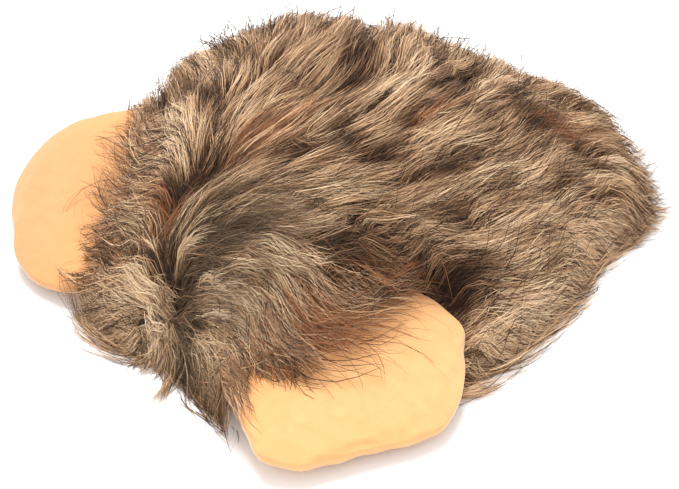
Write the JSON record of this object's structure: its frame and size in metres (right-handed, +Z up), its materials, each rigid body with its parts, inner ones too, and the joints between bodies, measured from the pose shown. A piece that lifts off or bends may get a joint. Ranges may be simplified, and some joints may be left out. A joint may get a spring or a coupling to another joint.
{
  "type": "pet lion mane wig",
  "caption": "Lion mane wig for a dog, laid flat: a hood of long brown faux fur, open at the face and the neck, with padded peach plush ears sewn into its seams.",
  "frame": {"origin": "on the surface that the wig lies on, under the middle of the line between the ears", "axes": "+Z up from the surface, -Y towards the face opening, +Y towards the neck opening, X across the wig"},
  "size_m": [0.315, 0.3254, 0.0837],
  "materials": {
    "backing_cloth": "matt knitted backing of the fur",
    "chest_pile": "flattened faux fur, brown with sandy streaks",
    "mane_pile": "long faux fur, sandy brown with near-black tips, soft sheen",
    "brow_pile": "long faux fur, greyer brown with cream and dark streaks, soft sheen",
    "ear_plush": "short peach plush with a fine nap"
  },
  "bodies": {
    "root": {"hood_cloth": "backing_cloth", "chest_fur": "chest_pile", "mane_right": "mane_pile", "mane_left": "mane_pile", "brow_fringe": "brow_pile", "ear_right": "ear_plush", "ear_left": "ear_plush"}
  },
  "joints": []
}
